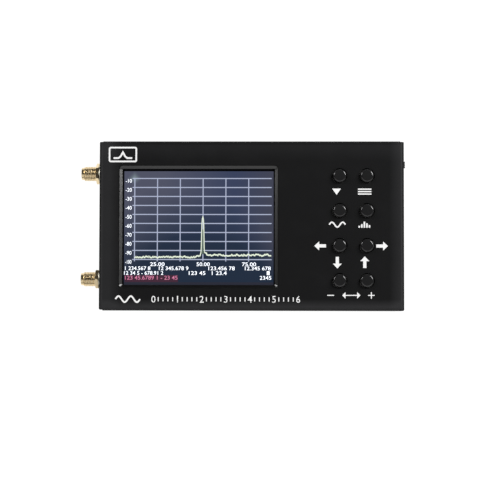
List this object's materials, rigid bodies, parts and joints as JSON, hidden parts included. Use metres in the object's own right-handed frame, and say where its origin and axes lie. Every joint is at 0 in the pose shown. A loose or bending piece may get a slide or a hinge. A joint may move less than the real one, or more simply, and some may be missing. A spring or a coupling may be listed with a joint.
{
  "type": "handheld spectrum analyzer",
  "caption": "Handheld spectrum analyzer: a folded black sheet-metal case with a recessed colour display, round push keys and a pair of gold coaxial jacks on one end.",
  "frame": {"origin": "centre of the back cover's outer face, on which the instrument lies", "axes": "+X towards the wall with the power switch, +Y towards the top wall above the display, +Z out of the display"},
  "size_m": [0.1428, 0.0734, 0.0265],
  "materials": {
    "black_coat": "fine matte powder coat",
    "screw_black": "blackened",
    "bezel_plastic": "satin moulded",
    "gasket_foam": "closed-cell foam",
    "display_glass": "dark polished with a lit picture",
    "chip_black": "moulded epoxy",
    "connector_black": "moulded",
    "plunger_black": "moulded",
    "switch_knob": "ribbed",
    "key_gloss": "polished",
    "tinned_steel": "tinned",
    "nickel_brass": "nickel plated",
    "tape_white": "foam tape",
    "flex_amber": "polyimide film",
    "connector_ivory": "moulded",
    "board_green": "solder mask",
    "gold_plate": "gold plated, turned",
    "insulator_white": "turned",
    "battery_foil": "dull pouch foil",
    "lead_red": "smooth sleeve"
  },
  "bodies": {
    "case": {"front_shell": "black_coat", "back_cover": "black_coat", "cover_screws": "screw_black", "display_bezel": "bezel_plastic", "display_gasket": "gasket_foam", "lcd_glass": "display_glass", "lcd_driver_chip": "chip_black", "logic_chips": "chip_black", "radio_chips": "chip_black", "board_socket": "connector_black", "board_header": "connector_black", "tact_bases": "connector_black", "power_switch_base": "connector_black", "usb_tongue": "connector_black", "lcd_backlight": "tinned_steel", "radio_shield": "tinned_steel", "tact_covers": "tinned_steel", "tact_contacts": "tinned_steel", "tact_legs": "tinned_steel", "power_switch_frame": "tinned_steel", "power_switch_pins": "tinned_steel", "usb_shell": "tinned_steel", "panel_standoffs": "nickel_brass", "board_spacers": "nickel_brass", "rear_pillars": "nickel_brass", "lcd_tape": "tape_white", "battery_tape": "tape_white", "lcd_flex": "flex_amber", "lcd_flex_socket": "connector_ivory", "battery_plug": "connector_ivory", "battery_socket": "connector_ivory", "front_board": "board_green", "rear_board": "board_green", "upper_jack": "gold_plate", "lower_jack": "gold_plate", "jack_nuts": "gold_plate", "jack_washers": "gold_plate", "jack_contacts": "gold_plate", "jack_insulators": "insulator_white", "battery_cell": "battery_foil", "battery_leads": "lead_red"},
    "marker_button": {"marker_key": "key_gloss", "marker_plunger": "plunger_black"},
    "menu_button": {"menu_key": "key_gloss", "menu_plunger": "plunger_black"},
    "frequency_button": {"frequency_key": "key_gloss", "frequency_plunger": "plunger_black"},
    "amplitude_button": {"amplitude_key": "key_gloss", "amplitude_plunger": "plunger_black"},
    "left_button": {"left_key": "key_gloss", "left_plunger": "plunger_black"},
    "right_button": {"right_key": "key_gloss", "right_plunger": "plunger_black"},
    "down_button": {"down_key": "key_gloss", "down_plunger": "plunger_black"},
    "up_button": {"up_key": "key_gloss", "up_plunger": "plunger_black"},
    "power_knob": {"power_switch_knob": "switch_knob"}
  },
  "joints": [
    {"name": "marker_press", "type": "slide", "parent": "case", "child": "marker_button", "axis": [0, 0, 1], "range_m": [-0.00025, 0], "stiffness_N_per_m": 2000, "springref_m": 0.0005},
    {"name": "menu_press", "type": "slide", "parent": "case", "child": "menu_button", "axis": [0, 0, 1], "range_m": [-0.00025, 0], "stiffness_N_per_m": 2000, "springref_m": 0.0005},
    {"name": "frequency_press", "type": "slide", "parent": "case", "child": "frequency_button", "axis": [0, 0, 1], "range_m": [-0.00025, 0], "stiffness_N_per_m": 2000, "springref_m": 0.0005},
    {"name": "amplitude_press", "type": "slide", "parent": "case", "child": "amplitude_button", "axis": [0, 0, 1], "range_m": [-0.00025, 0], "stiffness_N_per_m": 2000, "springref_m": 0.0005},
    {"name": "left_press", "type": "slide", "parent": "case", "child": "left_button", "axis": [0, 0, 1], "range_m": [-0.00025, 0], "stiffness_N_per_m": 2000, "springref_m": 0.0005},
    {"name": "right_press", "type": "slide", "parent": "case", "child": "right_button", "axis": [0, 0, 1], "range_m": [-0.00025, 0], "stiffness_N_per_m": 2000, "springref_m": 0.0005},
    {"name": "down_press", "type": "slide", "parent": "case", "child": "down_button", "axis": [0, 0, 1], "range_m": [-0.00025, 0], "stiffness_N_per_m": 2000, "springref_m": 0.0005},
    {"name": "up_press", "type": "slide", "parent": "case", "child": "up_button", "axis": [0, 0, 1], "range_m": [-0.00025, 0], "stiffness_N_per_m": 2000, "springref_m": 0.0005},
    {"name": "power_slide", "type": "slide", "parent": "case", "child": "power_knob", "axis": [0, 1, 0], "range_m": [-0.002, 0]}
  ]
}
